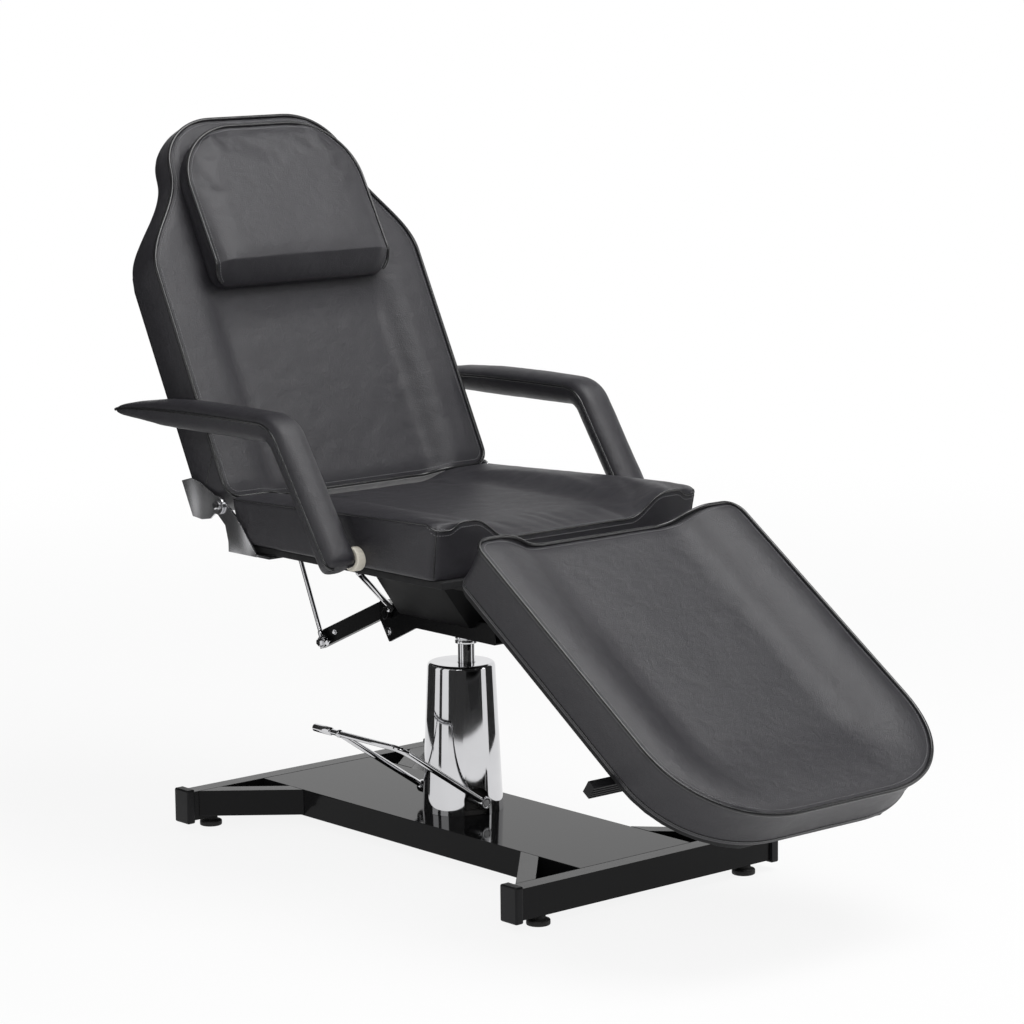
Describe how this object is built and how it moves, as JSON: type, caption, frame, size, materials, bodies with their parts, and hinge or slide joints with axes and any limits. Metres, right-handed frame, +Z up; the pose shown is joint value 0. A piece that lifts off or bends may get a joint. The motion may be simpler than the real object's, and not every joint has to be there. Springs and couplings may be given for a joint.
{
  "type": "hydraulic massage table",
  "caption": "Padded treatment table on a foot-pumped ram: seat with fold-up arms, reclining back with neck pillow, hinged leg rest on gas struts.",
  "frame": {"origin": "on the floor, under the middle of the table's length and width", "axes": "+Z up, +X to the occupant's left, +Y from the leg rest towards the head"},
  "size_m": [0.708, 1.4936, 1.1913],
  "materials": {
    "black_leather": "matte",
    "black_paint": "gloss",
    "chrome": "polished",
    "steel": "satin",
    "cast_iron": "matte",
    "black_plastic": "satin",
    "rubber": "matte",
    "cream_plastic": "satin",
    "wrapped_board": "matte"
  },
  "bodies": {
    "base": {"base_front_bar": "black_paint", "base_rear_bar": "black_paint", "base_tray": "black_paint", "base_brace_front_left": "black_paint", "base_brace_front_right": "black_paint", "base_brace_rear_left": "black_paint", "base_brace_rear_right": "black_paint", "base_cap_front_left": "black_plastic", "base_cap_front_right": "black_plastic", "base_cap_rear_left": "black_plastic", "base_cap_rear_right": "black_plastic", "pump_body": "cast_iron", "pump_cylinder": "steel", "pump_gland": "steel", "pump_cover": "chrome"},
    "front_left_foot": {"front_left_foot": "rubber"},
    "front_right_foot": {"front_right_foot": "rubber"},
    "rear_left_foot": {"rear_left_foot": "rubber"},
    "rear_right_foot": {"rear_right_foot": "rubber"},
    "pedal": {"pedal_shaft": "steel", "pedal_loop": "chrome"},
    "plunger": {"pump_plunger": "steel"},
    "ram": {"ram": "chrome", "ram_piston": "steel"},
    "upper_frame": {"ram_socket": "black_paint", "main_beam": "black_paint", "rear_arm": "black_paint", "back_strut_bolt": "chrome", "seat_bracket": "black_paint", "seat_rail_left": "black_paint", "seat_rail_right": "black_paint", "seat_board": "wrapped_board", "seat_pad": "black_leather", "seat_hinge_plate_left": "chrome", "seat_hinge_plate_right": "chrome", "arm_spacer_left": "cream_plastic", "arm_spacer_right": "cream_plastic", "arm_stud_left": "steel", "arm_stud_right": "steel"},
    "back": {"back_pad": "black_leather", "back_board": "wrapped_board", "back_hinge_plate_left": "chrome", "back_hinge_plate_right": "chrome", "back_hinge_bolt_left": "chrome", "back_hinge_bolt_right": "chrome", "back_strut_lug": "black_paint"},
    "pillow": {"pillow": "black_leather"},
    "leg": {"leg_pad": "black_leather", "leg_board": "wrapped_board", "leg_strap_left": "black_paint", "leg_strap_right": "black_paint", "leg_bar": "black_plastic", "leg_strut_lug": "black_paint"},
    "arm_left": {"arm_pad_left": "black_leather"},
    "arm_right": {"arm_pad_right": "black_leather"},
    "back_strut_rod": {"back_strut_rod": "chrome"},
    "back_strut_tube": {"back_strut_tube": "black_paint"},
    "leg_strut_rod": {"leg_strut_rod": "chrome"},
    "leg_strut_tube": {"leg_strut_tube": "black_paint"},
    "lever": {"release_lever": "chrome"}
  },
  "joints": [
    {"name": "lift", "type": "slide", "parent": "base", "child": "ram", "axis": [0, 0, 1], "range_m": [0, 0.13]},
    {"name": "swivel", "type": "hinge", "parent": "ram", "child": "upper_frame", "pos_m": [0, 0.12356, 0.378], "axis": [0, 0, 1], "continuous": true},
    {"name": "back_recline", "type": "hinge", "parent": "upper_frame", "child": "back", "pos_m": [0, 0.41406, 0.5777], "axis": [-1, 0, 0], "range_deg": [0, 63]},
    {"name": "leg_raise", "type": "hinge", "parent": "upper_frame", "child": "leg", "pos_m": [0, -0.17294, 0.4897], "axis": [-1, 0, 0], "range_deg": [0, 34.5]},
    {"name": "pillow_slide", "type": "slide", "parent": "back", "child": "pillow", "axis": [0, 0.454, 0.891], "range_m": [-0.12, 0.015]},
    {"name": "arm_left_lift", "type": "hinge", "parent": "upper_frame", "child": "arm_left", "pos_m": [0.296, 0.05106, 0.5337], "axis": [1, 0, 0], "range_deg": [0, 90]},
    {"name": "arm_right_lift", "type": "hinge", "parent": "upper_frame", "child": "arm_right", "pos_m": [-0.296, 0.05106, 0.5337], "axis": [1, 0, 0], "range_deg": [0, 90]},
    {"name": "pedal_press", "type": "hinge", "parent": "base", "child": "pedal", "pos_m": [-0.02, 0.13706, 0.093], "axis": [0, -1, 0], "range_deg": [0, 24], "stiffness_Nm_per_rad": 6, "springref_deg": -34.38},
    {"name": "plunger_stroke", "type": "slide", "parent": "base", "child": "plunger", "axis": [0, 0, -1], "range_m": [0, 0.0097]},
    {"name": "lever_press", "type": "hinge", "parent": "upper_frame", "child": "lever", "pos_m": [-0.029, 0.29706, 0.378], "axis": [1, 0, 0], "range_deg": [0, 12], "stiffness_Nm_per_rad": 1.5, "springref_deg": -17.19},
    {"name": "back_strut_foot", "type": "hinge", "parent": "upper_frame", "child": "back_strut_rod", "pos_m": [-0.069, 0.42006, 0.317], "axis": [-1, 0, 0], "range_deg": [-0.5, 32]},
    {"name": "back_strut_head", "type": "hinge", "parent": "back", "child": "back_strut_tube", "pos_m": [-0.069, 0.61038, 0.74934], "axis": [-1, 0, 0], "range_deg": [-32, 0.5]},
    {"name": "leg_strut_foot", "type": "hinge", "parent": "upper_frame", "child": "leg_strut_rod", "pos_m": [0.01, 0.00906, 0.378], "axis": [-1, 0, 0], "range_deg": [-0.5, 17.75]},
    {"name": "leg_strut_head", "type": "hinge", "parent": "leg", "child": "leg_strut_tube", "pos_m": [0.01, -0.34893, 0.36875], "axis": [-1, 0, 0], "range_deg": [-17.75, 0.5]},
    {"name": "front_left_foot_screw", "type": "hinge", "parent": "base", "child": "front_left_foot", "pos_m": [0.22, -0.30494, 0], "axis": [0, 0, 1], "continuous": true},
    {"name": "front_right_foot_screw", "type": "hinge", "parent": "base", "child": "front_right_foot", "pos_m": [-0.22, -0.30494, 0], "axis": [0, 0, 1], "continuous": true},
    {"name": "rear_left_foot_screw", "type": "hinge", "parent": "base", "child": "rear_left_foot", "pos_m": [0.22, 0.54906, 0], "axis": [0, 0, 1], "continuous": true},
    {"name": "rear_right_foot_screw", "type": "hinge", "parent": "base", "child": "rear_right_foot", "pos_m": [-0.22, 0.54906, 0], "axis": [0, 0, 1], "continuous": true}
  ],
  "couplings": [
    {"joint": "plunger_stroke", "follows": "pedal_press", "m_per_rad": 0.02292},
    {"joint": "back_strut_foot", "follows": "back_recline", "ratio": 0.5},
    {"joint": "back_strut_head", "follows": "back_recline", "ratio": -0.5},
    {"joint": "leg_strut_foot", "follows": "leg_raise", "ratio": 0.5},
    {"joint": "leg_strut_head", "follows": "leg_raise", "ratio": -0.5}
  ]
}
